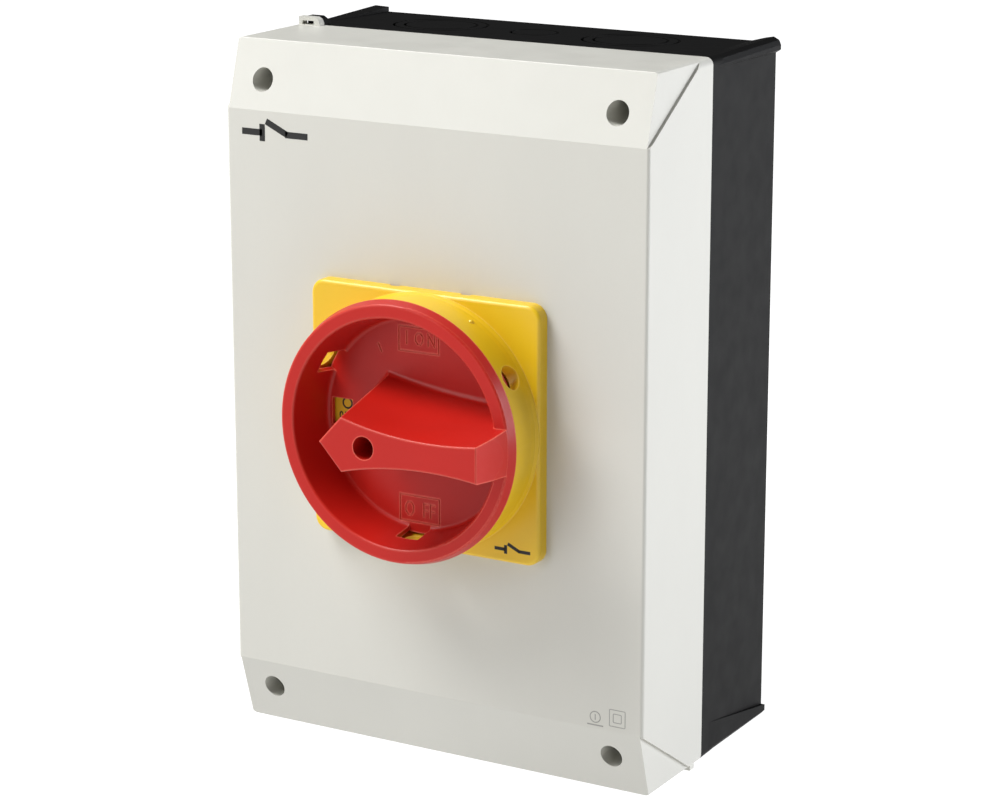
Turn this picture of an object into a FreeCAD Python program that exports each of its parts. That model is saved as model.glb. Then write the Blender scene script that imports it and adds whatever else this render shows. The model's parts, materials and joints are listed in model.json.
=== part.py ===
import FreeCAD, Part
import math
import os

# Enclosed rotary isolator switch for wall mounting, in millimetres.
# Origin: centre of the back face.  +X right, +Y into the wall, +Z up; the switch faces -Y.

Vector = FreeCAD.Vector
OUT_OF_WALL = Vector(0, 1, 0)

# enclosure
WIDTH = 160.0
HEIGHT = 241.0
DEPTH = 92.0
COVER_DEPTH = 43.6
WALL = 3.0
RIM_WIDTH = 5.5
RIM_DEPTH = 6.0
CORNER_ROUND = 2.6
FRONT_Y = -DEPTH
PARTING_Y = COVER_DEPTH - DEPTH
COVER_INNER_Y = FRONT_Y + WALL
BACK_WALL_Y = -3.5

# sloping bands at the top and bottom of the cover
BAND_START_Z = 97.4
BAND_FALL = 6.9
BAND_INSET = 1.0
CREASE_END_Y = FRONT_Y + 36.5

# rear housing
BACK_DRAFT_X = 0.5
BACK_DRAFT_Z = 1.2
WALL_HOLE_X = 60.0
WALL_HOLE_Z = 95.0
WALL_HOLE_R = 2.75
KNOCKOUT_Y = -23.5
KNOCKOUT_X = 37.0

# cover screws
SCREW_X = 67.0
SCREW_Z = 107.3
WELL_R = 4.0
WELL_FLOOR_Y = -56.0
SCREW_R = 1.75
SCREW_HEAD_R = 3.6
SCREW_HOLE_R = 1.95
SCREW_REACH = 11.0
INSERT_R = 3.2
INSERT_Y = PARTING_Y + 1.5
INSERT_LENGTH = 10.0
WASHER_THICK = 0.8

# padlock collar and plate
PLATE_HALF = 43.75
PLATE_Y = FRONT_Y - 5.0
COLLAR_Y = FRONT_Y - 18.6
PADLOCK_Y = FRONT_Y - 12.0
PADLOCK_R = 4.2
PADLOCK_ANGLES = (30.0, 150.0, 270.0)
PLATE_SCREW_AT = 34.0
PLATE_SCREW_R = 1.6
DIAL_R = 36.6
DIAL_THICK = 0.8
PLATE_SEAL_OUTER_R = 32.0
PLATE_SEAL_INNER_R = 29.5

# handle
RIM_Y = FRONT_Y - 24.6
LIP_BACK_Y = FRONT_Y - 18.9
FLOOR_Y = FRONT_Y - 7.8
FLOOR_BACK_Y = FRONT_Y - 6.3
KNOB_Y = FRONT_Y - 42.4
RIM_OUTER_R = 44.4
RIM_FRONT_R = 43.3
RIM_INNER_R = 38.7
FLOOR_R = 36.0
HUB_R = 9.0
HUB_END_Y = -81.0
RUNNING = 0.1
COUPLER_R = 6.5
COUPLER_FRONT_Y = -104.0
SCREW_SEAT_Y = -107.0
KNOB_BORE_R = 3.85
NOTCH_HALF = 4.2
NOTCH_FRONT_Y = FRONT_Y - 16.2
WORD_STROKE = 0.5
WORD_DEPTH = 0.35

# switch unit
POLE_PITCH = 26.0
POLES = (-POLE_PITCH, 0.0, POLE_PITCH)
PLATE_BACK_Y = -6.5
SWITCH_BACK_Y = -8.0
SWITCH_SPLIT_Y = -26.0
SWITCH_FRONT_Y = -62.0
SWITCH_HALF_X = 42.0
SWITCH_HALF_Z = 46.0
TERMINAL_Z = 35.0
STROKE = 5.0
TURN = 90.0
BASE_SCREW_AT = 38.0
HOUSING_SCREW_X = 39.0
HOUSING_SCREW_Z = 22.0
SHAFT_SIDE = 6.0
SHAFT_FRONT_Y = -93.0
ROTOR_R = 17.0
FOLLOWER_R = 13.0

# earth and neutral terminals
BAR_TERMINAL_X = 30.0
BAR_TERMINAL_Z = -62.0

CORNERS = {"top_left": (-1, 1), "top_right": (1, 1), "bottom_left": (-1, -1), "bottom_right": (1, -1)}


# ---- helpers -------------------------------------------------------------------------------

def block(x0, x1, y0, y1, z0, z1):
    return Part.makeBox(x1 - x0, y1 - y0, z1 - z0, Vector(x0, y0, z0))


def centred(x, z, half_x, half_z, y0, y1):
    return block(x - half_x, x + half_x, y0, y1, z - half_z, z + half_z)


def rod(x, z, radius, y0, y1):
    return Part.makeCylinder(radius, y1 - y0, Vector(x, y0, z), OUT_OF_WALL)


def tube(x, z, outer, inner, y0, y1):
    return rod(x, z, outer, y0, y1).cut(rod(x, z, inner, y0 - 1, y1 + 1))


def prism_along_x(points, x0, x1):
    """Solid with a (y, z) outline, from x0 to x1."""
    wire = Part.makePolygon([Vector(x0, y, z) for y, z in points + points[:1]])
    return Part.Face(wire).extrude(Vector(x1 - x0, 0, 0))


def prism_along_y(points, y0, y1):
    """Solid with an (x, z) outline, from y0 to y1."""
    wire = Part.makePolygon([Vector(x, y0, z) for x, z in points + points[:1]])
    return Part.Face(wire).extrude(Vector(0, y1 - y0, 0))


def turned(points):
    """Solid of revolution about the Y axis with an (r, y) outline."""
    wire = Part.makePolygon([Vector(r, y, 0) for r, y in points + points[:1]])
    return Part.Face(wire).revolve(Vector(0, 0, 0), OUT_OF_WALL, 360)


def rounded_outline(half_x, half_z, radius, y):
    """Closed rectangle with round corners in the plane at y."""
    edges = []
    corners = [(1, 1, 0), (-1, 1, 90), (-1, -1, 180), (1, -1, 270)]
    arcs = []
    for side_x, side_z, start in corners:
        centre = (side_x * (half_x - radius), side_z * (half_z - radius))
        points = []
        for step in (0, 45, 90):
            angle = math.radians(start + step)
            x = centre[0] + radius * math.cos(angle)
            z = centre[1] + radius * math.sin(angle)
            points.append(Vector(x, y, z))
        arcs.append(points)
    for index, points in enumerate(arcs):
        following = arcs[(index + 1) % 4]
        edges.append(Part.Arc(*points).toShape())
        edges.append(Part.makeLine(points[2], following[0]))
    return Part.Wire(edges)


def rounded_slab(half_x, half_z, radius, y0, y1):
    return Part.Face(rounded_outline(half_x, half_z, radius, y0)).extrude(Vector(0, y1 - y0, 0))


def frame_slab(outer, inner, y0, y1):
    """Rectangular ring between two (half_x, half_z, radius) outlines."""
    return rounded_slab(*outer, y0, y1).cut(rounded_slab(*inner, y0 - 1, y1 + 1))


def spin(shape, degrees):
    """Copy turned about the switch axis, from +X towards +Z."""
    turned_copy = shape.copy()
    turned_copy.rotate(Vector(0, 0, 0), OUT_OF_WALL, -degrees)
    return turned_copy


def mirrored(shape, normal):
    return shape.mirror(Vector(0, 0, 0), normal)


def both_sides(shape):
    return [shape, mirrored(shape, Vector(1, 0, 0))]


def union(shapes):
    return shapes[0].multiFuse(shapes[1:]).removeSplitter() if len(shapes) > 1 else shapes[0]


def group(shapes):
    return Part.makeCompound(shapes)


def edges_where(shape, test):
    return [edge for edge in shape.Edges if test(edge)]


def runs_along(edge, direction):
    """True for a straight edge parallel to the direction."""
    if edge.Curve.TypeId != "Part::GeomLine":
        return False
    chord = edge.Vertexes[-1].Point - edge.Vertexes[0].Point
    return chord.cross(direction).Length < 1e-6 * chord.Length


def middle(edge):
    return edge.CenterOfMass


def coil(x, z, radius, wire_r, y0, y1, turns):
    """Spring along Y: six-sided wire carried round a helix in short straight spans."""
    spans = 12 * turns
    rise = (y1 - y0 - 2 * wire_r) / spans
    sections = []
    for span in range(spans + 1):
        turn = math.radians(30 * span)
        y = y0 + wire_r + rise * span
        ring = []
        for corner in range(7):
            angle = math.radians(60 * corner)
            reach = radius + wire_r * math.cos(angle)
            across = x + reach * math.cos(turn)
            above = z + reach * math.sin(turn)
            ring.append(Vector(across, y + wire_r * math.sin(angle), above))
        sections.append(Part.makePolygon(ring))
    return Part.makeLoft(sections, True, True)


def pan_head_screw(x, z, shank_r, head_r, tip_y, seat_y, head_height):
    """Screw along Y with its head towards -Y and a crossed driver recess."""
    top_y = seat_y - head_height
    body = union([rod(x, z, head_r, top_y, seat_y), rod(x, z, shank_r, seat_y - 0.2, tip_y)])
    rim = edges_where(body, lambda e: abs(middle(e).y - top_y) < 1e-6)
    body = body.makeFillet(0.25 * head_height, rim)
    arm = 0.62 * head_r
    slit = 0.14 * head_r
    recess_y = top_y + 0.55 * head_height
    for half_x, half_z in ((arm, slit), (slit, arm)):
        body = body.cut(centred(x, z, half_x, half_z, top_y - 1, recess_y))
    return body


def save(name, shape):
    shape.exportStep("parts/" + name + ".step")


# ---- enclosure -----------------------------------------------------------------------------

def cover_outline(inset):
    """(y, z) outline of the cover, drawn inset inside its skin and open at the parting plane."""
    slope = BAND_FALL / (HEIGHT / 2 - BAND_START_Z)
    lean = math.sqrt(1 + slope * slope)
    end_z = HEIGHT / 2 - inset
    end_y = FRONT_Y + slope * (end_z - BAND_START_Z) + inset * lean
    ridge_z = BAND_START_Z + inset * (1 - lean) / slope
    upper = [(FRONT_Y + inset, ridge_z), (end_y, end_z), (PARTING_Y, end_z)]
    lower = [(y, -z) for y, z in reversed(upper)]
    return lower + upper


def sealing_lug(outer_x, y0, y1):
    """Small tab on the top edge near the left corner, from outer_x inwards."""
    outline = [(outer_x, 118), (-68.9, 118), (-68.9, 121.2), (-69.5, 122.6), (-70.9, 123.4),
               (outer_x, 123.4)]
    return prism_along_y(outline, y0, y1)


def half_turned(shape):
    """Copy turned half a turn about the Y axis."""
    return spin(shape, 180)


def make_front_cover():
    half_x = WIDTH / 2
    body = prism_along_x(cover_outline(0), -half_x, half_x)
    long_corners = edges_where(body, lambda e: runs_along(e, OUT_OF_WALL))
    body = body.makeFillet(CORNER_ROUND, long_corners)
    upright = edges_where(body, lambda e: runs_along(e, Vector(0, 0, 1)) and middle(e).y < FRONT_Y + 1)
    body = body.makeFillet(1.2, upright)
    crease = [(FRONT_Y, BAND_START_Z), (FRONT_Y - 3, BAND_START_Z), (FRONT_Y - 3, HEIGHT / 2 + 1),
              (CREASE_END_Y + 1.7, HEIGHT / 2 + 1), (CREASE_END_Y, HEIGHT / 2)]
    cheek = prism_along_x(crease, half_x - BAND_INSET, half_x + 2)
    for side in both_sides(cheek):
        body = body.cut([side, mirrored(side, Vector(0, 0, 1))])
    top_edges = edges_where(body, lambda e: runs_along(e, Vector(1, 0, 0)) and e.Length > 100
                            and abs(middle(e).z) > HEIGHT / 2 - 1 and middle(e).y < PARTING_Y - 5)
    body = body.makeFillet(0.4, top_edges)

    cavity = prism_along_x(cover_outline(WALL), WALL - half_x, half_x - WALL)
    rim = frame_slab((half_x - 1, HEIGHT / 2 - 1, 2), (half_x - RIM_WIDTH, HEIGHT / 2 - RIM_WIDTH, 4),
                     PARTING_Y - RIM_DEPTH, PARTING_Y)
    body = body.cut(cavity)
    within = prism_along_x(cover_outline(1), 1 - half_x, half_x - 1)
    pillars = [rod(sx * SCREW_X, sz * SCREW_Z, 6.5, FRONT_Y, PARTING_Y).common(within)
               for sx, sz in CORNERS.values()]
    eye = block(-75.9, -71.3, PARTING_Y - 4, PARTING_Y + 1, 120.8, 122.1)
    lug = sealing_lug(-77.3, PARTING_Y - 3, PARTING_Y).cut(eye)
    body = union([body, rim, lug, half_turned(lug)] + pillars)
    tools = [frame_slab((half_x - 2.2, HEIGHT / 2 - 2.2, 3), (half_x - 4.2, HEIGHT / 2 - 4.2, 3),
                        PARTING_Y - 3, PARTING_Y + 1)]
    tools.append(rod(0, 0, 12, FRONT_Y - 1, COVER_INNER_Y + 1))
    plate_hole_r = PLATE_SCREW_R + 0.3
    for sx, sz in CORNERS.values():
        x = sx * PLATE_SCREW_AT
        z = sz * PLATE_SCREW_AT
        tools.append(rod(sx * SCREW_X, sz * SCREW_Z, WELL_R, FRONT_Y - 2, WELL_FLOOR_Y))
        tools.append(rod(sx * SCREW_X, sz * SCREW_Z, SCREW_HOLE_R, WELL_FLOOR_Y - 1, PARTING_Y + 1))
        tools.append(rod(x, z, plate_hole_r, FRONT_Y - 1, COVER_INNER_Y + 1))
    return body.cut(tools)


def make_cover_seal():
    outer = (WIDTH / 2 - 2.2, HEIGHT / 2 - 2.2, 3)
    inner = (WIDTH / 2 - 4.2, HEIGHT / 2 - 4.2, 3)
    return frame_slab(outer, inner, PARTING_Y - 3, PARTING_Y - 1.2)


def tapered_bar(back_points, front_points, front_y):
    """Solid between an (x, z) outline on the back plane and one nearer the front."""
    back = Part.makePolygon([Vector(x, 0, z) for x, z in back_points + back_points[:1]])
    front = Part.makePolygon([Vector(x, front_y, z) for x, z in front_points + front_points[:1]])
    return Part.makeLoft([front, back], True, True)


def make_housing_flares():
    """Flared lips along the top side edges and ledges low on the side walls."""
    tip = [(78.6, 121.2), (80.6, 120.2), (81.3, 118.6), (81.3, 117), (79, 115.5)]
    root = [(77.4, 119.9), (79.2, 119.1), (79.9, 117.4), (79.9, 116.9), (79, 115.5)]
    steep = tapered_bar([(73, 115.5), (73, 121)] + tip, [(73, 115.5), (73, 119.9)] + root, PARTING_Y)
    gentle = tapered_bar([(69.5, 115.5), (69.5, 119), (75.5, 120.6)] + tip,
                         [(69.5, 115.5), (69.5, 119.8), (75.5, 119.9)] + root, PARTING_Y)
    low_back = [(78, -115.3), (80.9, -115.3), (80.9, -117.4), (79.6, -118.8), (78, -118.8)]
    low_front = [(78, -108), (79.9, -108), (79.9, -118), (79.4, -119.2), (78, -119.2)]
    low = tapered_bar(low_back, low_front, PARTING_Y + 4)
    return [mirrored(steep, Vector(1, 0, 0)), gentle] + both_sides(low)


def knockout_rings(x, radii):
    """Ring grooves that mark a cable entry on the top wall."""
    rings = []
    for radius in radii:
        outer = Part.makeCylinder(radius + 0.45, 3, Vector(x, KNOCKOUT_Y, HEIGHT / 2 - 1.4))
        inner = Part.makeCylinder(radius - 0.45, 3, Vector(x, KNOCKOUT_Y, HEIGHT / 2 - 1.4))
        rings.append(outer.cut(inner))
    return rings


def make_rear_housing():
    half_x = WIDTH / 2
    half_z = HEIGHT / 2
    front = rounded_outline(half_x, half_z, CORNER_ROUND, PARTING_Y)
    back = rounded_outline(half_x - BACK_DRAFT_X, half_z - BACK_DRAFT_Z, CORNER_ROUND, 0)
    body = Part.makeLoft([front, back], True, True)
    lug = sealing_lug(-75.6, PARTING_Y, PARTING_Y + 3)
    body = union([body, lug, half_turned(lug)] + make_housing_flares())
    cavity = rounded_slab(half_x - WALL - 0.8, half_z - WALL - 0.8, 3, PARTING_Y + RIM_DEPTH, BACK_WALL_Y)
    mouth = rounded_slab(half_x - RIM_WIDTH, half_z - RIM_WIDTH, 4, PARTING_Y - 1, PARTING_Y + RIM_DEPTH)
    body = body.cut([cavity, mouth])
    tongue = frame_slab((half_x - 2.4, half_z - 2.4, 2.8), (half_x - 4.0, half_z - 4.0, 3.2),
                        PARTING_Y - 1.1, PARTING_Y)
    added = [tongue]
    for sx, sz in CORNERS.values():
        added.append(rod(sx * SCREW_X, sz * SCREW_Z, 6.0, INSERT_Y, BACK_WALL_Y))
        added.append(rod(sx * BASE_SCREW_AT, sz * BASE_SCREW_AT, 4.5, PLATE_BACK_Y, BACK_WALL_Y))
        added.append(rod(sx * WALL_HOLE_X, sz * WALL_HOLE_Z, 6.0, BACK_WALL_Y - 2, BACK_WALL_Y))
    body = union([body] + added)

    tools = []
    recess = block(6, half_x - 9, -1, 1, 6, half_z - 9)
    pads = [rod(WALL_HOLE_X, WALL_HOLE_Z, 8, -2, 2), rod(SCREW_X, SCREW_Z, 9, -2, 2)]
    recess = recess.cut(pads)
    for side in both_sides(recess):
        tools += [side, mirrored(side, Vector(0, 0, 1))]
    for sx, sz in CORNERS.values():
        x = sx * SCREW_X
        z = sz * SCREW_Z
        tools.append(rod(x, z, INSERT_R, INSERT_Y - 1, INSERT_Y + INSERT_LENGTH))
        tools.append(rod(x, z, SCREW_R + 0.3, INSERT_Y, PARTING_Y + SCREW_REACH + 5))
        tools.append(rod(sx * BASE_SCREW_AT, sz * BASE_SCREW_AT, 1.7, PLATE_BACK_Y - 1, BACK_WALL_Y + 0.5))
        tools.append(rod(sx * WALL_HOLE_X, sz * WALL_HOLE_Z, WALL_HOLE_R, BACK_WALL_Y - 3, 1))
    for x, radii in ((-KNOCKOUT_X, (12.5, 16.3)), (0, (8.0,)), (KNOCKOUT_X, (12.5, 16.3))):
        rings = knockout_rings(x, radii)
        tools += rings + [mirrored(ring, Vector(0, 0, 1)) for ring in rings]
    return body.cut(tools)


def make_screw_inserts():
    bore = SCREW_R + RUNNING
    end_y = INSERT_Y + INSERT_LENGTH
    return group([tube(sx * SCREW_X, sz * SCREW_Z, INSERT_R, bore, INSERT_Y, end_y)
                  for sx, sz in CORNERS.values()])


def make_cover_screw(x, z):
    tip_y = PARTING_Y + SCREW_REACH
    seat_y = WELL_FLOOR_Y - WASHER_THICK
    return pan_head_screw(x, z, SCREW_R, SCREW_HEAD_R, tip_y, seat_y, 3.2)


def make_screw_washer(x, z):
    return tube(x, z, SCREW_HEAD_R, SCREW_R + RUNNING, WELL_FLOOR_Y - WASHER_THICK, WELL_FLOOR_Y)


# ---- padlock plate, dial, bush -------------------------------------------------------------

def make_handle_plate():
    plate = rounded_slab(PLATE_HALF, PLATE_HALF, 5, PLATE_Y, FRONT_Y)
    front_rim = edges_where(plate, lambda e: abs(middle(e).y - PLATE_Y) < 1e-6)
    plate = plate.makeFillet(1.2, front_rim)
    flare_y = PLATE_Y - 3.5
    outline = [(38.3, PLATE_Y + 1), (PLATE_HALF - 0.1, PLATE_Y + 1), (PLATE_HALF - 0.1, PLATE_Y - 0.2),
               (43.1, PLATE_Y - 1.5), (42.85, flare_y), (42.5, COLLAR_Y + 0.5), (42.2, COLLAR_Y),
               (41.2, COLLAR_Y), (38.3, PLATE_Y - 1)]
    collar = turned(outline)
    pimple = spin(Part.makeSphere(1.0, Vector(42.4, FRONT_Y - 9.4, 0)), 60.7)
    body = union([plate, collar, pimple])
    tools = [rod(0, 0, 10, PLATE_Y - 1, FRONT_Y + 1)]
    channel = Part.makeCylinder(PADLOCK_R, 14, Vector(36, PADLOCK_Y, 0), Vector(1, 0, 0))
    tools += [spin(channel, angle) for angle in PADLOCK_ANGLES]
    for side in (-1, 1):
        for x in (-13.6, 13.6):
            tools.append(centred(x, side * PLATE_HALF, 2, 1.2, FRONT_Y - 1.3, FRONT_Y + 1))
    for sx, sz in CORNERS.values():
        tools.append(rod(sx * PLATE_SCREW_AT, sz * PLATE_SCREW_AT, PLATE_SCREW_R, FRONT_Y - 3.5, FRONT_Y + 1))
    tools.append(tube(0, 0, PLATE_SEAL_OUTER_R, PLATE_SEAL_INNER_R, FRONT_Y - 1, FRONT_Y + 1))
    return body.cut(tools)


def make_plate_seal():
    return tube(0, 0, PLATE_SEAL_OUTER_R, PLATE_SEAL_INNER_R, FRONT_Y - 1, FRONT_Y)


def make_plate_screws():
    screws = []
    for sx, sz in CORNERS.values():
        x = sx * PLATE_SCREW_AT
        z = sz * PLATE_SCREW_AT
        head = rod(x, z, 3.4, COVER_INNER_Y, COVER_INNER_Y + 2.2)
        shank = rod(x, z, PLATE_SCREW_R, FRONT_Y - 3.5, COVER_INNER_Y + 1)
        slot = centred(x, z, 3.5, 0.5, COVER_INNER_Y + 1.2, COVER_INNER_Y + 3)
        screws.append(union([head, shank]).cut(slot))
    return group(screws)


def make_position_dial():
    return tube(0, 0, DIAL_R, 17, PLATE_Y - DIAL_THICK, PLATE_Y)


def make_bearing_bush():
    outline = [(HUB_R + RUNNING, FRONT_Y), (12, FRONT_Y), (12, COVER_INNER_Y), (15, COVER_INNER_Y),
               (15, COVER_INNER_Y + 2), (11.5, COVER_INNER_Y + 2), (11.5, COVER_INNER_Y + 5),
               (HUB_R + RUNNING, COVER_INNER_Y + 5)]
    return turned(outline)


# ---- handle --------------------------------------------------------------------------------

def knob_outline(y, tip, shoulder, waist, end):
    """Arrow outline in the plane at y: pointed at -X, waisted sides, square end at +X."""
    top = [Vector(x, y, z) for x, z in [shoulder] + waist + [end]]
    bottom = [Vector(p.x, y, -p.z) for p in top]
    point = Vector(tip, y, 0)
    upper = Part.BSplineCurve()
    upper.interpolate(top)
    lower = Part.BSplineCurve()
    lower.interpolate(bottom[::-1])
    edges = [Part.makeLine(point, top[0]), upper.toShape(), Part.makeLine(top[-1], bottom[-1]),
             lower.toShape(), Part.makeLine(bottom[0], point)]
    return Part.Wire(edges)


def make_knob(shrink, front_y):
    """Grip between its front and floor outlines, every side moved in by shrink."""
    front = knob_outline(front_y, -16.8 + shrink * 1.4, (-8.5 + shrink * 0.4, 9.1 - shrink),
                         [(7, 5.9 - shrink), (23.5, 4.8 - shrink)], (42 - shrink, 6.1 - shrink))
    foot = knob_outline(FLOOR_Y + 0.5, -24.4 + shrink * 1.4, (-11.4 + shrink * 0.4, 15.5 - shrink),
                        [(7, 12.2 - shrink), (24.7, 10.5 - shrink)], (45 - shrink, 9.2 - shrink))
    return Part.makeLoft([front, foot], True, True)


def bowl_radius(y):
    """Inner radius of the bowl wall at y."""
    return FLOOR_R + (RIM_INNER_R - FLOOR_R) * (FLOOR_Y - y) / (FLOOR_Y - RIM_Y)


def make_handle_envelope(front_y):
    skin = 1.7
    outline = [(0, front_y), (RIM_FRONT_R, front_y), (RIM_FRONT_R, RIM_Y), (RIM_OUTER_R, LIP_BACK_Y - 2.0),
               (RIM_OUTER_R - 1.2, LIP_BACK_Y),
               (bowl_radius(LIP_BACK_Y) + skin, LIP_BACK_Y), (bowl_radius(FLOOR_Y) + skin, FLOOR_Y),
               (FLOOR_R + 1.0, FLOOR_BACK_Y), (0, FLOOR_BACK_Y)]
    return turned(outline)


def make_rotary_handle():
    bowl = make_handle_envelope(RIM_Y)
    hollow = turned([(0, RIM_Y - 1), (bowl_radius(RIM_Y - 1), RIM_Y - 1), (FLOOR_R, FLOOR_Y), (0, FLOOR_Y)])
    foot_edge = edges_where(hollow, lambda e: abs(middle(e).y - FLOOR_Y) < 1e-6 and e.Length > 200)
    hollow = hollow.makeFillet(1.5, foot_edge)
    bowl = bowl.cut(hollow)
    rim_edges = edges_where(bowl, lambda e: abs(middle(e).y - RIM_Y) < 1e-6)
    bowl = bowl.makeFillet(0.8, rim_edges)

    grip = make_knob(0, KNOB_Y)
    crest = edges_where(grip, lambda e: abs(middle(e).y - KNOB_Y) < 1e-6)
    grip = union([grip.makeFillet(0.5, crest), rod(0, 0, 70, FLOOR_Y, FLOOR_BACK_Y)])
    root = edges_where(grip, lambda e: abs(middle(e).y - FLOOR_Y) < 1e-3 and e.Length < 60 and middle(e).x < 42)
    grip = grip.makeFillet(2.0, root)
    body = union([bowl, grip.common(make_handle_envelope(KNOB_Y - 1))])
    inside = make_knob(2.4, KNOB_Y + 2.4).common(rod(0, 0, 40, KNOB_Y, FLOOR_BACK_Y + 1))
    inside = inside.cut(rod(0, 0, 11, KNOB_Y, 0))
    below = inside.common(block(-50, 50, KNOB_Y, FLOOR_Y + 0.5, -50, 50))
    body = body.cut(below)
    body = union([body, rod(0, 0, HUB_R, FLOOR_Y, HUB_END_Y)])

    tools = [rod(0, 0, KNOB_BORE_R, KNOB_Y - 1, SCREW_SEAT_Y)]
    tools.append(rod(0, 0, 2.1, SCREW_SEAT_Y - 1, COUPLER_FRONT_Y + 1))
    tools.append(rod(0, 0, COUPLER_R, COUPLER_FRONT_Y, HUB_END_Y + 1))
    tools.append(tube(0, 0, HUB_R + 1, 7.8, HUB_END_Y - 2.7, HUB_END_Y - 1.5))
    tools.append(Part.makeTorus(8.95, 1.0, Vector(0, FRONT_Y - 2.5, 0), OUT_OF_WALL))
    tools.append(block(-34, -26, FLOOR_Y - 1, FLOOR_BACK_Y + 1, -4.5, 4.7))
    notch = block(33.5, 43, NOTCH_FRONT_Y, FLOOR_Y, -NOTCH_HALF, NOTCH_HALF)
    tools += [spin(notch, angle) for angle in PADLOCK_ANGLES]
    tools += engraved_frame(28.3, 4.1) + engraved_frame(-29.5, 4.5)
    tools += [groove(-4.6, 26.6, -4.6, 30.8)] + engraved_ring(0.2, 28.7, 1.5, 2.0)
    tools += engraved_n(3.6, 26.7, 2.4, 4.0) + engraved_ring(-3.9, -29.6, 1.6, 2.4)
    tools += engraved_f(1.6, -31.8, 1.6, 4.4) + engraved_f(4.2, -31.8, 1.6, 4.4)
    tools.append(groove(-15.6, 25.4, -14.4, 22.8))
    return body.cut(tools)


def groove(x0, z0, x1, z1):
    """Fine straight groove in the bowl floor between two points."""
    length = math.hypot(x1 - x0, z1 - z0) + WORD_STROKE
    bar = centred(0, 0, length / 2, WORD_STROKE / 2, FLOOR_Y - 0.5, FLOOR_Y + WORD_DEPTH)
    bar = spin(bar, math.degrees(math.atan2(z1 - z0, x1 - x0)))
    bar.translate(Vector((x0 + x1) / 2, 0, (z0 + z1) / 2))
    return bar


def engraved_frame(z, half_z):
    """Rectangle of fine grooves in the bowl floor around a switch position word."""
    half_x = 7.6
    sides = [groove(sx * half_x, z - half_z, sx * half_x, z + half_z) for sx in (-1, 1)]
    ends = [groove(-half_x, z + sz * half_z, half_x, z + sz * half_z) for sz in (-1, 1)]
    return sides + ends


def engraved_ring(x, z, half_x, half_z):
    """Eight-sided letter O."""
    turns = [math.radians(22.5 + 45 * step) for step in range(9)]
    ring = [(x + half_x * math.cos(turn), z + half_z * math.sin(turn)) for turn in turns]
    return [groove(*ring[step], *ring[step + 1]) for step in range(8)]


def engraved_n(x, z, width, height):
    return [groove(x, z, x, z + height), groove(x, z + height, x + width, z),
            groove(x + width, z, x + width, z + height)]


def engraved_f(x, z, width, height):
    return [groove(x, z, x, z + height), groove(x, z + height, x + width, z + height),
            groove(x, z + height / 2, x + 0.8 * width, z + height / 2)]


def make_shaft_coupler():
    body = rod(0, 0, COUPLER_R, COUPLER_FRONT_Y, HUB_END_Y)
    socket = SHAFT_SIDE / 2 + RUNNING
    tools = [rod(0, 0, 1.9, COUPLER_FRONT_Y - 1, -96), centred(0, 0, socket, socket, -95, HUB_END_Y + 1)]
    return body.cut(tools)


def make_handle_screw():
    return pan_head_screw(0, 0, 1.9, 3.4, -97, SCREW_SEAT_Y, 2.8)


def make_handle_seal():
    return Part.makeTorus(8.95, 0.95, Vector(0, FRONT_Y - 2.5, 0), OUT_OF_WALL)


def make_retaining_ring():
    ring = tube(0, 0, 11.8, 7.85, HUB_END_Y - 2.7, HUB_END_Y - 1.5)
    return ring.cut(block(-3, 3, -90, -70, 6, 14))


# ---- switch unit ---------------------------------------------------------------------------

def make_mounting_plate():
    plate = rounded_slab(SWITCH_HALF_X + 3, SWITCH_HALF_Z + 2, 3, SWITCH_BACK_Y, PLATE_BACK_Y)
    return plate.cut([rod(sx * BASE_SCREW_AT, sz * BASE_SCREW_AT, 1.9, SWITCH_BACK_Y - 1, 0)
                      for sx, sz in CORNERS.values()])


def make_mounting_plate_screws():
    tip_y = BACK_WALL_Y + 0.4
    return group([pan_head_screw(sx * BASE_SCREW_AT, sz * BASE_SCREW_AT, 1.7, 3.2, tip_y, SWITCH_BACK_Y, 2.2)
                  for sx, sz in CORNERS.values()])


def make_switch_base():
    body = block(-SWITCH_HALF_X, SWITCH_HALF_X, SWITCH_SPLIT_Y, SWITCH_BACK_Y, -SWITCH_HALF_Z, SWITCH_HALF_Z)
    upright = edges_where(body, lambda e: runs_along(e, OUT_OF_WALL))
    body = body.makeFillet(2, upright)
    tools = []
    for sx, sz in CORNERS.values():
        tools.append(rod(sx * BASE_SCREW_AT, sz * BASE_SCREW_AT, 3.6, SWITCH_BACK_Y - 3, SWITCH_BACK_Y + 1))
        x = sx * HOUSING_SCREW_X
        z = sz * HOUSING_SCREW_Z
        tools.append(rod(x, z, 1.3, SWITCH_SPLIT_Y - 1, SWITCH_SPLIT_Y + 10))
    for x in POLES:
        for side in (-1, 1):
            tools.append(centred(x, side * TERMINAL_Z, 8, 8, SWITCH_SPLIT_Y - 1, SWITCH_SPLIT_Y + 1.7))
    return body.cut(tools)


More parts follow.
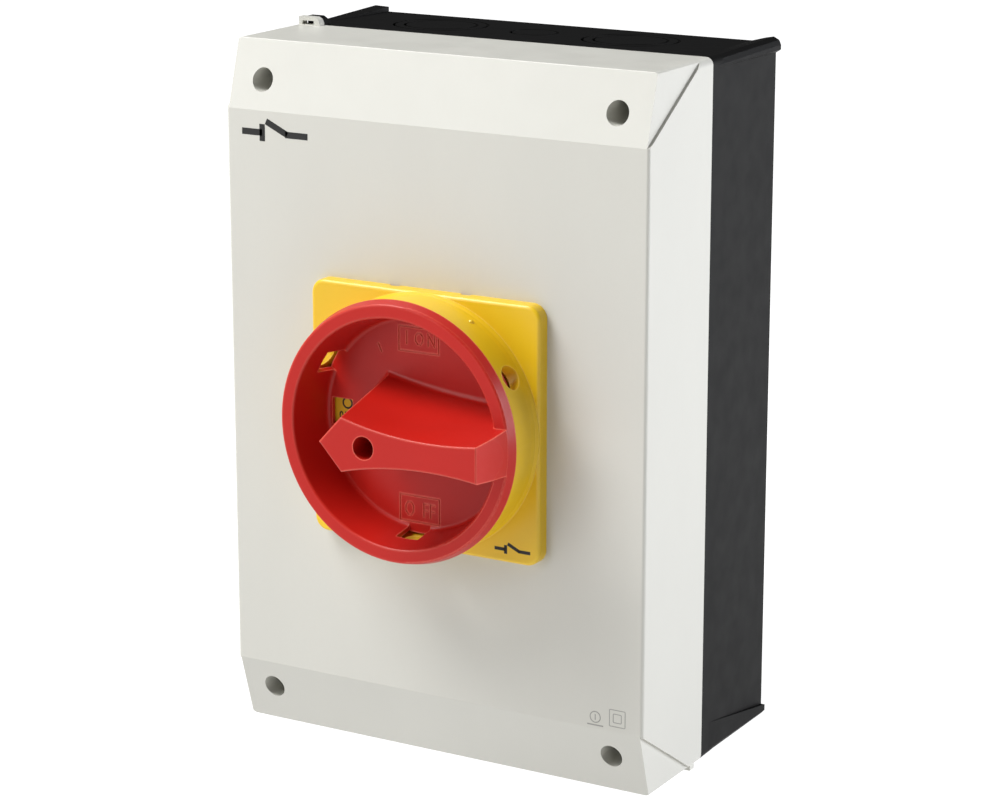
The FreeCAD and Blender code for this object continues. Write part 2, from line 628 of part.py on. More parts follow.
def make_switch_housing():
    body = block(-SWITCH_HALF_X, SWITCH_HALF_X, SWITCH_FRONT_Y, SWITCH_SPLIT_Y, -SWITCH_HALF_Z, SWITCH_HALF_Z)
    outer = edges_where(body, lambda e: runs_along(e, OUT_OF_WALL) or middle(e).y < SWITCH_FRONT_Y + 1)
    body = body.makeFillet(1.5, outer)
    tools = [block(-37, 37, -54, SWITCH_SPLIT_Y + 1, -21, 21)]
    tools.append(rod(0, 0, ROTOR_R + 0.6, SWITCH_FRONT_Y + 2.5, -53))
    tools.append(rod(0, 0, 10 + RUNNING, SWITCH_FRONT_Y - 1, -58))
    tools.append(block(-2.6, 2.6, -58.3, -54.5, -27, 27))
    for x in POLES:
        for side in (-1, 1):
            pocket = block(x - 8, x + 8, -52, SWITCH_SPLIT_Y + 1, 26, SWITCH_HALF_Z + 1)
            slot = block(x - 6.2, x + 6.2, -28.7, SWITCH_SPLIT_Y + 1, 15, 28)
            if side < 0:
                pocket = mirrored(pocket, Vector(0, 0, 1))
                slot = mirrored(slot, Vector(0, 0, 1))
            tools += [pocket, slot, rod(x, side * TERMINAL_Z, 4.6, SWITCH_FRONT_Y - 1, -50)]
    for sx, sz in CORNERS.values():
        x = sx * HOUSING_SCREW_X
        z = sz * HOUSING_SCREW_Z
        tools.append(rod(x, z, 1.5, SWITCH_FRONT_Y - 1, SWITCH_SPLIT_Y + 1))
        tools.append(rod(x, z, 2.6, SWITCH_FRONT_Y - 1, SWITCH_FRONT_Y + 3))
    return body.cut(tools)


def make_switch_housing_screws():
    tip_y = SWITCH_SPLIT_Y + 9
    seat_y = SWITCH_FRONT_Y + 3
    return group([pan_head_screw(sx * HOUSING_SCREW_X, sz * HOUSING_SCREW_Z, 1.3, 2.4, tip_y, seat_y, 2.2)
                  for sx, sz in CORNERS.values()])


def fixed_contact(x):
    """Upper contact bar of one pole, from its tip to its terminal."""
    return block(x - 6, x + 6, SWITCH_SPLIT_Y - 2.5, SWITCH_SPLIT_Y, 10, 42)


def make_fixed_contacts(side):
    bars = [fixed_contact(x) for x in POLES]
    return group(bars if side > 0 else [mirrored(bar, Vector(0, 0, 1)) for bar in bars])


def make_fixed_contact_tips():
    front = SWITCH_SPLIT_Y - 4.0
    return group([rod(x, side * 14, 3.4, front, front + 1.5) for x in POLES for side in (-1, 1)])


def make_terminal_clamps(side):
    clamps = []
    for x in POLES:
        cage = centred(x, side * TERMINAL_Z, 7.6, 6.5, -45, SWITCH_SPLIT_Y + 1.6)
        opening = centred(x, side * TERMINAL_Z, 6.1, 8, -42.5, SWITCH_SPLIT_Y)
        clamps.append(cage.cut([opening, rod(x, side * TERMINAL_Z, 2.6, -46, -42)]))
    return group(clamps)


def make_terminal_screws(side):
    return group([pan_head_screw(x, side * TERMINAL_Z, 2.6, 4.0, -41.5, -46.5, 3.0) for x in POLES])


def make_return_springs():
    return group([coil(x, 0, 3.4, 0.35, SWITCH_SPLIT_Y - 14, SWITCH_SPLIT_Y, 6)
                  for x in (-POLE_PITCH / 2, POLE_PITCH / 2)])


def make_indexing_rollers():
    return group([rod(0, side * (ROTOR_R + 2.2), 2.0, -58, -55) for side in (-1, 1)])


def make_indexing_springs():
    spring = coil(0, 0, 1.1, 0.22, 0, 5.2, 5)
    spring.rotate(Vector(0, 0, 0), Vector(1, 0, 0), 90)
    spring.translate(Vector(0, -56.5, ROTOR_R + 4.4))
    return group([spring, mirrored(spring, Vector(0, 0, 1))])


# ---- contact carrier -----------------------------------------------------------------------

def make_contact_carrier():
    bar_front = SWITCH_SPLIT_Y - 24
    bar_back = SWITCH_SPLIT_Y - 14
    body = block(-36, 36, bar_front, bar_back, -8, 8)
    cheeks = []
    for x in POLES:
        for side in (-1, 1):
            cheeks.append(centred(x + side * 6.1, 0, 0.8, 8, bar_back - 1, bar_back + 4.5))
    pads = [centred(side * FOLLOWER_R, 0, 3.5, 4, bar_front - 1.3, bar_front + 1) for side in (-1, 1)]
    body = union([body] + cheeks + pads)
    tools = [rod(x, 0, 4.4, bar_front + 4, bar_back + 1) for x in POLES]
    tools += [follower_pin(side) for side in (-1, 1)]
    return body.cut(tools)


def follower_pin(side):
    """Cross pin that the rotor ramp pushes on."""
    start = Vector(side * FOLLOWER_R - 3.5, SWITCH_SPLIT_Y - 25.3, 0)
    return Part.makeCylinder(1.8, 7, start, Vector(1, 0, 0))


def make_follower_pins():
    return group([follower_pin(side) for side in (-1, 1)])


def make_contact_bridges():
    back = SWITCH_SPLIT_Y - 10.6
    return group([block(x - 5, x + 5, back - 2, back, -18, 18) for x in POLES])


def make_moving_contact_tips():
    back = SWITCH_SPLIT_Y - 4.1 - STROKE
    return group([rod(x, side * 14, 3.4, back - 1.5, back) for x in POLES for side in (-1, 1)])


def make_contact_springs():
    front = SWITCH_SPLIT_Y - 20
    return group([coil(x, 0, 3.3, 0.4, front, SWITCH_SPLIT_Y - 12.6, 4) for x in POLES])


# ---- rotor ---------------------------------------------------------------------------------

def ramp_face(angle):
    """Radial section of the ramp: its height grows evenly with the angle."""
    top = SWITCH_SPLIT_Y - 27.4 + STROKE * angle / TURN
    inner = FOLLOWER_R - 3.6
    outer = FOLLOWER_R + 3.6
    corners = [(inner, -56), (outer, -56), (outer, top), (inner, top)]
    radians = math.radians(angle)
    points = [Vector(r * math.cos(radians), y, r * math.sin(radians)) for r, y in corners]
    return Part.makePolygon(points + points[:1])


def make_cam_rotor():
    disc = rod(0, 0, ROTOR_R, -58, -55)
    dimples = [rod(x, z, 2.4, -59, -54) for x, z in ((0, 18.4), (18.4, 0), (0, -18.4), (-18.4, 0))]
    disc = disc.cut(dimples)
    neck = rod(0, 0, 10, -66, -57)
    steps = 8
    margin = 10.0
    angles = [-margin + (TURN + 2 * margin) * i / steps for i in range(steps + 1)]
    ramp = Part.makeLoft([ramp_face(angle) for angle in angles], True, True)
    body = union([disc, neck, ramp, half_turned(ramp)])
    half = SHAFT_SIDE / 2
    tools = [centred(0, 0, half, half, -67, -56.5), tube(0, 0, 11, 8.6, -64.6, -63.4)]
    return body.cut(tools)


def make_rotor_ring():
    ring = tube(0, 0, 12.4, 8.65, -64.6, -63.4)
    return ring.cut(block(-3, 3, -66, -62, 6, 14))


def make_drive_shaft():
    half = SHAFT_SIDE / 2
    shaft = centred(0, 0, half, half, SHAFT_FRONT_Y, -56.5)
    tip = edges_where(shaft, lambda e: abs(middle(e).y - SHAFT_FRONT_Y) < 1e-6)
    return shaft.makeChamfer(0.8, tip)


# ---- earth and neutral terminals -----------------------------------------------------------

def bar_terminal(x):
    """Brass block with two cable holes along Z, on the floor of the housing."""
    body = centred(x, BAR_TERMINAL_Z, 9, 6, BACK_WALL_Y - 12, BACK_WALL_Y)
    for hole_x in (x - 4.5, x + 4.5):
        start = Vector(hole_x, BACK_WALL_Y - 6, BAR_TERMINAL_Z - 10)
        body = body.cut(Part.makeCylinder(2.6, 20, start))
        body = body.cut(rod(hole_x, BAR_TERMINAL_Z, 1.8, BACK_WALL_Y - 13, BACK_WALL_Y - 6))
    return body


def bar_terminal_screws(x):
    seat = BACK_WALL_Y - 12
    return [pan_head_screw(x + dx, BAR_TERMINAL_Z, 1.8, 3.0, seat + 3.2, seat, 2.2) for dx in (-4.5, 4.5)]


def main():
    os.makedirs("parts", exist_ok=True)
    save("front_cover", make_front_cover())
    save("cover_seal", make_cover_seal())
    save("rear_housing", make_rear_housing())
    save("screw_inserts", make_screw_inserts())
    for name, (sx, sz) in CORNERS.items():
        save("cover_screw_" + name, make_cover_screw(sx * SCREW_X, sz * SCREW_Z))
        save("screw_washer_" + name, make_screw_washer(sx * SCREW_X, sz * SCREW_Z))
    save("handle_plate", make_handle_plate())
    save("plate_seal", make_plate_seal())
    save("plate_screws", make_plate_screws())
    save("position_dial", make_position_dial())
    save("bearing_bush", make_bearing_bush())
    save("rotary_handle", make_rotary_handle())
    save("shaft_coupler", make_shaft_coupler())
    save("handle_screw", make_handle_screw())
    save("handle_seal", make_handle_seal())
    save("retaining_ring", make_retaining_ring())
    save("mounting_plate", make_mounting_plate())
    save("mounting_plate_screws", make_mounting_plate_screws())
    save("switch_base", make_switch_base())
    save("switch_housing", make_switch_housing())
    save("switch_housing_screws", make_switch_housing_screws())
    for name, side in (("line", 1), ("load", -1)):
        save(name + "_contacts", make_fixed_contacts(side))
        save(name + "_terminal_clamps", make_terminal_clamps(side))
        save(name + "_terminal_screws", make_terminal_screws(side))
    save("fixed_contact_tips", make_fixed_contact_tips())
    save("return_springs", make_return_springs())
    save("indexing_rollers", make_indexing_rollers())
    save("indexing_springs", make_indexing_springs())
    save("contact_carrier", make_contact_carrier())
    save("follower_pins", make_follower_pins())
    save("contact_bridges", make_contact_bridges())
    save("moving_contact_tips", make_moving_contact_tips())
    save("contact_springs", make_contact_springs())
    save("cam_rotor", make_cam_rotor())
    save("rotor_ring", make_rotor_ring())
    save("drive_shaft", make_drive_shaft())
    for name, x in (("earth", BAR_TERMINAL_X), ("neutral", -BAR_TERMINAL_X)):
        save(name + "_terminal", bar_terminal(x))
        save(name + "_terminal_screws", group(bar_terminal_screws(x)))


main()
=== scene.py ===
import json
import math

import bpy
import numpy as np
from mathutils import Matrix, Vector


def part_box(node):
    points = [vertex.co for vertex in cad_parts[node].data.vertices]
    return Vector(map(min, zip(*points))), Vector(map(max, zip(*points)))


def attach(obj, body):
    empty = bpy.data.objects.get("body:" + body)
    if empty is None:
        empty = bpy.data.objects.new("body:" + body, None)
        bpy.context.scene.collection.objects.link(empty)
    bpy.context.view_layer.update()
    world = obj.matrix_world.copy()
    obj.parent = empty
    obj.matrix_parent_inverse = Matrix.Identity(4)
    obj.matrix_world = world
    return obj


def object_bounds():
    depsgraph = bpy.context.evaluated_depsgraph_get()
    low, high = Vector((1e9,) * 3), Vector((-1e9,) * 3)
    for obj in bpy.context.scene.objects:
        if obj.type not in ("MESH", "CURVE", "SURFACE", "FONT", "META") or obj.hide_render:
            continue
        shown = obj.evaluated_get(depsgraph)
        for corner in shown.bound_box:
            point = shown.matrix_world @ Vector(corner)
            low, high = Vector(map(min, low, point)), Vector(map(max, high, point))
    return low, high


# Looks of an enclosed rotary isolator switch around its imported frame.
# Metres, +Z up; the switch faces -Y and its back face lies in the XZ plane.

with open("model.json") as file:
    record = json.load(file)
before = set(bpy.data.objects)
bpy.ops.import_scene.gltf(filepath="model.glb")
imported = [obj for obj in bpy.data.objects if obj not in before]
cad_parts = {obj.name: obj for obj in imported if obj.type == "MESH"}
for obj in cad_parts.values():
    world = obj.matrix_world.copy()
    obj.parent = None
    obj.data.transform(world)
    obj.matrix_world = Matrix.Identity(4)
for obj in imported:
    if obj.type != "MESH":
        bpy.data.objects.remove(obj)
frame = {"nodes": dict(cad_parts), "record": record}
cad_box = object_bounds()

MM = 0.001

# viewpoint
VIEW_AZIMUTH = 30.066
VIEW_ELEVATION = 14.859
VIEW_DISTANCE = 1.0818
VIEW_TARGET = Vector((-10.42, -28.8, -9.63)) * MM
LENS = 110.975

# printed lines
INK_THICKNESS = 0.04 * MM
INK_SINK = 0.015 * MM

# painted highlights along the edges of moulded pieces: width, cosine of the turn that counts as a full edge,
# and strength
HIGHLIGHT_EDGE_WIDTH = 0.7 * MM
HIGHLIGHT_EDGE_TURN = 0.93
HIGHLIGHT_EDGE_SHARE = 0.7

# light
ROOM_LIGHT = 0.04
FLOOR_GLOW = 0.8
FLOOR_SEEN_GLOW = 0.2
FLOOR_GREY = (0.20, 0.20, 0.20)
KEY_POWER = 17.0
TOP_POWER = 83.0
SIDE_POWER = 30.0


# ---- materials -----------------------------------------------------------------------------

class Finish:
    """A material with one Principled shader and a few named steps to feed it."""

    def __init__(self, name, roughness, metallic=0.0, specular=0.5):
        self.material = bpy.data.materials.new(name)
        self.material.use_nodes = True
        self.tree = self.material.node_tree
        self.tree.nodes.clear()
        self.shader = self.tree.nodes.new("ShaderNodeBsdfPrincipled")
        output = self.tree.nodes.new("ShaderNodeOutputMaterial")
        self.tree.links.new(self.shader.outputs["BSDF"], output.inputs["Surface"])
        self.shader.inputs["Roughness"].default_value = roughness
        self.shader.inputs["Metallic"].default_value = metallic
        self.shader.inputs["Specular IOR Level"].default_value = specular
        self.place = self.tree.nodes.new("ShaderNodeTexCoord").outputs["Object"]

    def link(self, source, target):
        self.tree.links.new(source, target)

    def clouds(self, size, detail=2.0, stretch=(1, 1, 1)):
        """Smooth noise from 0 to 1 whose patches are about size across, longer along a stretched axis."""
        mapping = self.tree.nodes.new("ShaderNodeMapping")
        mapping.inputs["Scale"].default_value = [1 / s for s in stretch]
        noise = self.tree.nodes.new("ShaderNodeTexNoise")
        noise.inputs["Scale"].default_value = 1 / size
        noise.inputs["Detail"].default_value = detail
        self.link(self.place, mapping.inputs["Vector"])
        self.link(mapping.outputs["Vector"], noise.inputs["Vector"])
        return noise.outputs["Fac"]

    def remap(self, value, start, end, low, high):
        """value taken from start..end to low..high, and held there beyond."""
        step = self.tree.nodes.new("ShaderNodeMapRange")
        self.link(value, step.inputs["Value"])
        for socket, number in (("From Min", start), ("From Max", end), ("To Min", low), ("To Max", high)):
            step.inputs[socket].default_value = number
        return step.outputs["Result"]

    def sum(self, first, second, operation="ADD"):
        step = self.tree.nodes.new("ShaderNodeMath")
        step.operation = operation
        self.link(first, step.inputs[0])
        if isinstance(second, float):
            step.inputs[1].default_value = second
        else:
            self.link(second, step.inputs[1])
        return step.outputs["Value"]

    def tint(self, factor, first, second):
        """Colour from first at factor 0 to second at 1; either may be a colour or a socket."""
        step = self.tree.nodes.new("ShaderNodeMix")
        step.data_type = "RGBA"
        self.link(factor, step.inputs["Factor"])
        for socket, colour in (("A", first), ("B", second)):
            target = next(s for s in step.inputs if s.name == socket and s.type == "RGBA")
            if isinstance(colour, tuple):
                target.default_value = (*colour, 1)
            else:
                self.link(colour, target)
        return next(s for s in step.outputs if s.type == "RGBA")

    def edges(self, radius):
        """1 on edges, 0 on flat faces: how far the normal bevelled by radius turns from the true one. It
        masks the painted edge highlights.
        """
        bevel = self.tree.nodes.new("ShaderNodeBevel")
        bevel.samples = 4
        bevel.inputs["Radius"].default_value = radius
        surface = self.tree.nodes.new("ShaderNodeNewGeometry")
        along = self.tree.nodes.new("ShaderNodeVectorMath")
        along.operation = "DOT_PRODUCT"
        self.link(bevel.outputs["Normal"], along.inputs[0])
        self.link(surface.outputs["Normal"], along.inputs[1])
        return self.remap(along.outputs["Value"], 1.0, HIGHLIGHT_EDGE_TURN, 0.0, 1.0)

    def relief(self, *layers):
        """Bump from (height socket, depth in metres) layers, one on another."""
        normal = None
        for height, depth in layers:
            bump = self.tree.nodes.new("ShaderNodeBump")
            bump.inputs["Strength"].default_value = 1.0
            bump.inputs["Distance"].default_value = depth
            self.link(height, bump.inputs["Height"])
            if normal:
                self.link(normal, bump.inputs["Normal"])
            normal = bump.outputs["Normal"]
        self.link(normal, self.shader.inputs["Normal"])

    def colour(self, socket):
        self.link(socket, self.shader.inputs["Base Color"])

    def roughness(self, socket):
        self.link(socket, self.shader.inputs["Roughness"])


def scaled(colour, factor):
    return tuple(min(1.0, c * factor) for c in colour)


def moulded(name, colour, rough, depth=0.004, mottle=0.03, specular=0.5, wave=0.03, edge_highlight=None):
    """Injection-moulded plastic: spark-eroded grain, slow waves left by shrinkage, faint colour streaks, and
    a painted highlight along the edges when a highlight colour is given.
    """
    finish = Finish(name, rough, specular=specular)
    streaks = finish.clouds(30 * MM, 3.0, (1, 1, 2.5))
    fine = finish.clouds(1.2 * MM, 2.0)
    dark, light, darkest = (scaled(colour, 1 + share * mottle) for share in (-1, 1, -2))
    mixed = finish.tint(finish.remap(streaks, 0.35, 0.65, 0.0, 1.0), dark, light)
    mixed = finish.tint(finish.remap(fine, 0.3, 0.7, 0.0, 0.25), mixed, darkest)
    # painted highlight: near edges the colour turns towards a paler one, standing in for the lamps'
    # reflections in the rounded edges
    if edge_highlight:
        mixed = finish.tint(finish.sum(finish.edges(HIGHLIGHT_EDGE_WIDTH), HIGHLIGHT_EDGE_SHARE, "MULTIPLY"), mixed, edge_highlight)
    finish.colour(mixed)
    finish.roughness(finish.remap(finish.clouds(9 * MM, 2.0), 0.3, 0.7, rough - 0.04, rough + 0.04))
    finish.relief((finish.clouds(22 * MM, 1.0), wave * MM), (finish.clouds(0.3 * MM, 2.0), depth * MM))
    return finish.material


def plated(name, colour, rough, brushed=(1, 1, 1), tarnish=(0.5, 0.48, 0.42)):
    """Rolled or turned metal: fine lines along one way, patches of duller and warmer plating."""
    finish = Finish(name, rough, metallic=1.0)
    patches = finish.clouds(7 * MM, 4.0)
    mixed = finish.tint(finish.remap(patches, 0.35, 0.75, 0.0, 0.45), colour, tarnish)
    finish.colour(mixed)
    lines = finish.clouds(0.25 * MM, 3.0, brushed)
    finish.roughness(finish.remap(lines, 0.3, 0.7, rough - 0.08, rough + 0.1))
    finish.relief((lines, 0.004 * MM))
    return finish.material


def rubber(name, colour):
    """Matt elastomer with a dusty bloom."""
    finish = Finish(name, 0.8, specular=0.3)
    bloom = finish.clouds(3 * MM, 5.0)
    finish.colour(finish.tint(finish.remap(bloom, 0.45, 0.75, 0.0, 1.0), colour, scaled(colour, 2.4)))
    finish.relief((finish.clouds(0.2 * MM, 2.0), 0.01 * MM))
    return finish.material


def ink(name, colour):
    """Pad-printed ink: nearly even, a little broken where the grain shows through."""
    finish = Finish(name, 0.5, specular=0.4)
    worn = finish.remap(finish.clouds(0.4 * MM, 3.0), 0.4, 0.9, 0.0, 0.4)
    finish.colour(finish.tint(worn, colour, scaled(colour, 1.8)))
    finish.relief((finish.clouds(0.3 * MM, 2.0), 0.003 * MM))
    return finish.material


COVER_GREY = (0.62, 0.615, 0.565)
BOX_BLACK = (0.006, 0.006, 0.006)
YELLOW = (0.80, 0.52, 0.012)
# paler colours painted along the edges of the yellow and red pieces as highlights
YELLOW_PAINTED_HIGHLIGHT = (0.92, 0.66, 0.14)
RED = (0.50, 0.013, 0.008)
RED_PAINTED_HIGHLIGHT = (0.93, 0.22, 0.15)

SLOTS = {
    "cover_plastic": moulded("cover_plastic", COVER_GREY, 0.36, mottle=0.012),
    "housing_plastic": moulded("housing_plastic", BOX_BLACK, 0.5, mottle=0.03, specular=0.10, wave=0.008),
    "yellow_plastic": moulded("yellow_plastic", YELLOW, 0.35, depth=0.002, mottle=0.02, edge_highlight=YELLOW_PAINTED_HIGHLIGHT),
    "yellow_dial": moulded("yellow_dial", scaled(YELLOW, 0.95), 0.45, depth=0.002, mottle=0.02),
    "red_plastic": moulded("red_plastic", RED, 0.33, depth=0.002, mottle=0.03, specular=0.28, edge_highlight=RED_PAINTED_HIGHLIGHT),
    "white_nylon": moulded("white_nylon", (0.75, 0.74, 0.69), 0.4, mottle=0.02),
    "black_nylon": moulded("black_nylon", (0.02, 0.02, 0.022), 0.4, mottle=0.08),
    "switch_plastic": moulded("switch_plastic", (0.09, 0.095, 0.10), 0.5, mottle=0.05),
    "carrier_plastic": moulded("carrier_plastic", (0.50, 0.47, 0.38), 0.45, mottle=0.03),
    "seal_rubber": rubber("seal_rubber", (0.02, 0.02, 0.02)),
    "brass": plated("brass", (0.78, 0.55, 0.24), 0.3, (1, 12, 1), (0.45, 0.30, 0.14)),
    "copper": plated("copper", (0.82, 0.42, 0.27), 0.32, (1, 1, 12), (0.50, 0.26, 0.17)),
    "contact_silver": plated("contact_silver", (0.88, 0.87, 0.84), 0.25),
    "screw_steel": plated("screw_steel", (0.72, 0.72, 0.70), 0.28),
    "zinc_steel": plated("zinc_steel", (0.66, 0.67, 0.68), 0.35, (12, 1, 1), (0.55, 0.54, 0.46)),
    "spring_steel": plated("spring_steel", (0.48, 0.48, 0.49), 0.3),
}
BLACK_INK = ink("black_ink", (0.012, 0.012, 0.012))
GREY_INK = ink("grey_ink", (0.30, 0.30, 0.28))

for part in frame["record"]["subparts"]:
    mesh = frame["nodes"][part["node"]].data
    mesh.materials.clear()
    mesh.materials.append(SLOTS[part["material_slot"]])


# ---- marks ---------------------------------------------------------------------------------

def arc(centre, radius, start, end, steps=24):
    """Points (x, z) along a circle between two angles in degrees."""
    angle = np.radians(np.linspace(start, end, steps))
    return np.stack([centre[0] + radius * np.cos(angle), centre[1] + radius * np.sin(angle)], axis=1)


def ribbon(path, face_y, width, closed=False):
    """Points and faces of a flat line of even width and small thickness in a plane facing -Y.

    The path is a list of (x, z). At each point the line's section is set across the bisector of
    the two directions that meet there, lengthened by one over the cosine of half their turn, so
    that the width stays even through corners.
    """
    path = np.asarray(path, float) * MM
    ahead = np.roll(path, -1, axis=0) - path
    if not closed:
        ahead[-1] = ahead[-2]
    ahead /= np.linalg.norm(ahead, axis=1)[:, None]
    behind = np.roll(ahead, 1, axis=0)
    if not closed:
        behind[0] = ahead[0]
    bisector = ahead + behind
    bisector /= np.linalg.norm(bisector, axis=1)[:, None]
    stretch = 1 / np.clip(np.sum(bisector * ahead, axis=1), 0.3, 1)
    across = np.stack([-bisector[:, 1], bisector[:, 0]], axis=1) * stretch[:, None]
    side = np.array([1, 1, -1, -1]) * width * MM / 2
    depth = face_y + np.array([INK_SINK, INK_SINK - INK_THICKNESS, INK_SINK - INK_THICKNESS, INK_SINK])
    flat = path[:, None, :] + side[None, :, None] * across[:, None, :]
    points = np.stack([flat[:, :, 0], np.broadcast_to(depth, flat.shape[:2]), flat[:, :, 1]], axis=2)
    count = len(path)
    along = np.arange(count if closed else count - 1)[:, None]
    round_it = np.arange(4)[None, :]
    here, there = 4 * along, 4 * ((along + 1) % count)
    beyond = (round_it + 1) % 4
    quads = np.stack([here + round_it, there + round_it, there + beyond, here + beyond], axis=2)
    faces = quads.reshape(-1, 4).tolist()
    if not closed:
        last = 4 * (count - 1)
        faces += [[0, 1, 2, 3], [last + 3, last + 2, last + 1, last]]
    return points.reshape(-1, 3), faces


def mark(name, strokes, face_y, body, material):
    """One printed piece from strokes, each (path, width) or (path, width, closed), on a face at face_y."""
    points, faces, count = [], [], 0
    for path, width, *closed in strokes:
        new_points, new_faces = ribbon(path, face_y, width, bool(closed))
        points.append(new_points)
        faces += [[index + count for index in face] for face in new_faces]
        count += len(new_points)
    mesh = bpy.data.meshes.new(name)
    mesh.from_pydata(np.concatenate(points).tolist(), [], faces)
    mesh.materials.append(material)
    piece = bpy.data.objects.new(name, mesh)
    bpy.context.scene.collection.objects.link(piece)
    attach(piece, body)
    return piece


def isolator_symbol(x, z, length, weight):
    """Strokes of the general switch diagram: a line, its fixed contact bar, an open blade and a line."""
    unit = length / 10
    return [
        ([(x, z), (x + 3.1 * unit, z)], weight),
        ([(x + 3.1 * unit, z - 1.1 * unit), (x + 3.1 * unit, z + 1.1 * unit)], weight),
        ([(x + 3.7 * unit, z + 1.5 * unit), (x + 6.9 * unit, z)], weight),
        ([(x + 6.6 * unit, z), (x + 10 * unit, z)], weight),
    ]


def rounded_box(x, z, half, radius):
    """Closed square path with round corners."""
    corners = [(1, 1, 0), (-1, 1, 90), (-1, -1, 180), (1, -1, 270)]
    reach = half - radius
    return np.concatenate([arc((x + sx * reach, z + sz * reach), radius, start, start + 90, 5)
                           for sx, sz, start in corners])


def letter(kind, x, z, high, weight):
    """Strokes of a plain capital I, O, N or F, its lower left corner at (x, z)."""
    wide = 0.62 * high
    low, top, left, right = z + weight / 2, z + high - weight / 2, x + weight / 2, x + wide - weight / 2
    middle = (low + top) / 2
    if kind == "I":
        return [([(left, z), (left, z + high)], weight)]
    if kind == "O":
        turn = np.radians(np.arange(0, 360, 15))
        across = (left + right) / 2 + (right - left) / 2 * np.cos(turn)
        above = middle + (top - low) / 2 * np.sin(turn)
        return [(np.stack([across, above], axis=1), weight, True)]
    if kind == "N":
        return [([(left, z), (left, z + high)], weight), ([(right, z), (right, z + high)], weight),
                ([(left, top), (right, low)], weight)]
    return [([(left, z), (left, z + high)], weight), ([(left, top), (right, top)], weight),
            ([(left, middle), (right - 0.1 * wide, middle)], weight)]


def word(text, x, z, high, weight):
    """Strokes of a word centred on x with its foot at z."""
    widths = [weight if kind == "I" else 0.62 * high for kind in text]
    gap = 0.22 * high
    at = x - (sum(widths) + gap * (len(text) - 1)) / 2
    strokes = []
    for kind, width in zip(text, widths):
        strokes += letter(kind, at, z, high, weight)
        at += width + gap
    return strokes


cover_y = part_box("front_cover")[0].y
dial_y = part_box("position_dial")[0].y
plate_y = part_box("position_dial")[1].y
mark("cover_symbol", isolator_symbol(-73.8, 90.0, 26.3, 2.2), cover_y, "cover", BLACK_INK)
mark("plate_symbol", isolator_symbol(27.0, -39.2, 13.5, 1.15), plate_y, "cover",
     BLACK_INK)
double_square = [(rounded_box(70.6, -92.6, half, 0.3), 0.28, True) for half in (2.9, 1.5)]
mark("insulation_symbol", double_square, cover_y, "cover", GREY_INK)
round_sign = [(arc((62.4, -93.4), 1.9, 0, 345, 20), 0.35, True),
              ([(62.4, -92.4), (62.4, -94.4)], 0.35), ([(59.4, -96.2), (65.4, -96.2)], 0.45)]
mark("rating_symbol", round_sign, cover_y, "cover", GREY_INK)
mark("off_print", [(arc((-29.3, 2.7), 1.75, 0, 345, 24), 0.6, True)] + word("OFF", -29.6, -3.0, 2.6, 0.5),
     dial_y, "cover", BLACK_INK)
mark("on_print", [([(0.1, 30.2), (0.1, 33.2)], 0.6)] + word("ON", 0.1, 26.7, 2.6, 0.5),
     dial_y, "cover", BLACK_INK)


# ---- stage, light, camera ------------------------------------------------------------------

def facing(azimuth, elevation):
    """Unit vector from the object towards a place at this azimuth (0 is -Y, 90 is +X) and elevation."""
    a, e = math.radians(azimuth), math.radians(elevation)
    return Vector((math.sin(a) * math.cos(e), -math.cos(a) * math.cos(e), math.sin(e)))


def look_from(obj, place, target):
    obj.location = place
    obj.rotation_mode = "QUATERNION"
    obj.rotation_quaternion = (target - place).to_track_quat("-Z", "Y")


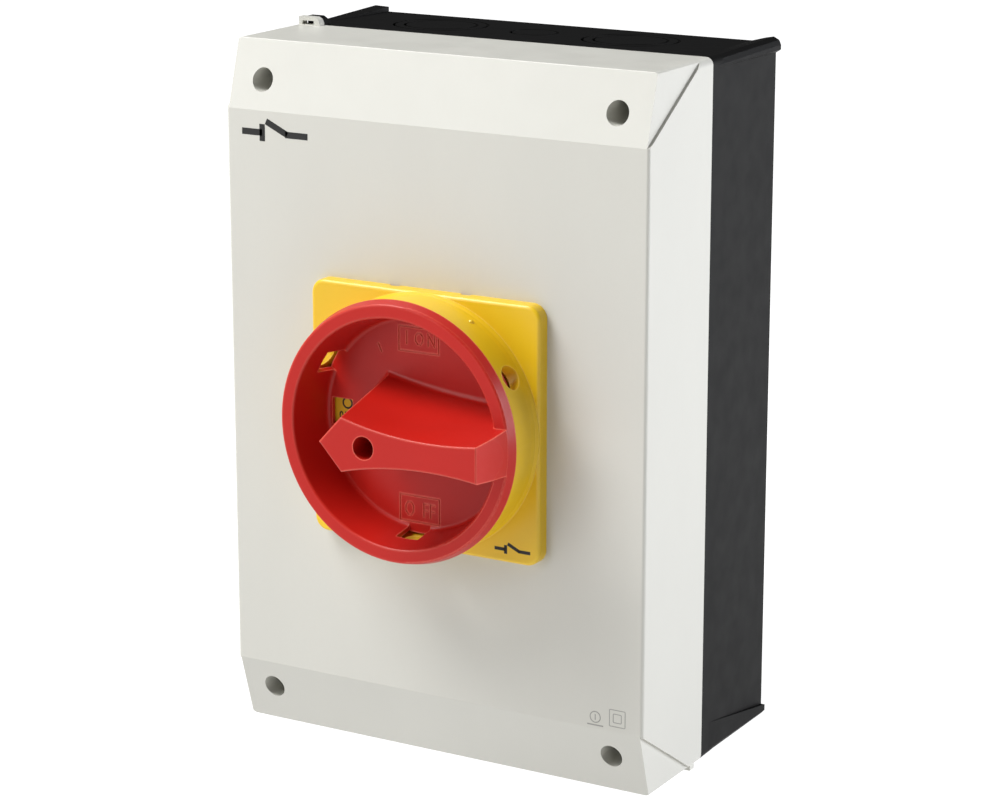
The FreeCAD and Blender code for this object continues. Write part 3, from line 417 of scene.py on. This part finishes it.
def make_floor():
    """Round pale floor, far wider than the view, at the height of the lowest lug."""
    count = 96
    turn = np.linspace(0, 2 * np.pi, count, endpoint=False)
    radii = np.array([0.3, 0.8, 2.0, 6.0, 20.0])
    flat = [radii[:, None] * np.cos(turn), radii[:, None] * np.sin(turn), np.zeros((len(radii), count))]
    points = np.concatenate([[[0, 0, 0]], np.stack(flat, axis=2).reshape(-1, 3)])
    points[:, 2] = cad_box[0].z
    step = np.arange(count)
    faces = [[0, 1 + i, 1 + (i + 1) % count] for i in step]
    for ring in range(len(radii) - 1):
        a, b = 1 + ring * count, 1 + (ring + 1) * count
        faces += [[a + i, b + i, b + (i + 1) % count, a + (i + 1) % count] for i in step]
    mesh = bpy.data.meshes.new("floor")
    mesh.from_pydata(points.tolist(), [], faces)
    floor = bpy.data.objects.new("floor", mesh)
    bpy.context.scene.collection.objects.link(floor)
    finish = Finish("floor_paint", 0.9, specular=0.1)
    finish.colour(finish.tint(finish.clouds(0.5), FLOOR_GREY, scaled(FLOOR_GREY, 1.05)))
    finish.shader.inputs["Emission Color"].default_value = (1, 1, 1, 1)
    path = finish.tree.nodes.new("ShaderNodeLightPath")
    glow = finish.remap(path.outputs["Is Camera Ray"], 0.0, 1.0, FLOOR_GLOW, FLOOR_GLOW + FLOOR_SEEN_GLOW)
    finish.link(glow, finish.shader.inputs["Emission Strength"])
    mesh.materials.append(finish.material)


def softbox(name, azimuth, elevation, distance, width, height, power, colour=(1, 1, 1)):
    data = bpy.data.lights.new(name, "AREA")
    data.shape = "RECTANGLE"
    data.size, data.size_y = width, height
    data.energy = power
    data.color = colour
    lamp = bpy.data.objects.new(name, data)
    bpy.context.scene.collection.objects.link(lamp)
    look_from(lamp, facing(azimuth, elevation) * distance, Vector((0, 0, 0)))


def make_world():
    world = bpy.data.worlds.new("studio")
    bpy.context.scene.world = world
    world.use_nodes = True
    tree = world.node_tree
    shade = tree.nodes["Background"]
    shade.inputs["Color"].default_value = (1, 1, 1, 1)
    shade.inputs["Strength"].default_value = ROOM_LIGHT


def make_camera():
    data = bpy.data.cameras.new("camera")
    data.lens = LENS
    data.clip_end = 100
    camera = bpy.data.objects.new("camera", data)
    bpy.context.scene.collection.objects.link(camera)
    look_from(camera, VIEW_TARGET + facing(VIEW_AZIMUTH, VIEW_ELEVATION) * VIEW_DISTANCE, VIEW_TARGET)
    bpy.context.scene.camera = camera


make_floor()
make_world()
softbox("key", -30, 20, 2.4, 1.3, 1.2, KEY_POWER)
softbox("top", -55, 56, 2.6, 1.3, 1.3, TOP_POWER)
softbox("side", 118, 8, 1.6, 0.9, 1.2, SIDE_POWER, (0.98, 1.0, 1.06))
make_camera()
bpy.context.scene.view_settings.view_transform = "Standard"
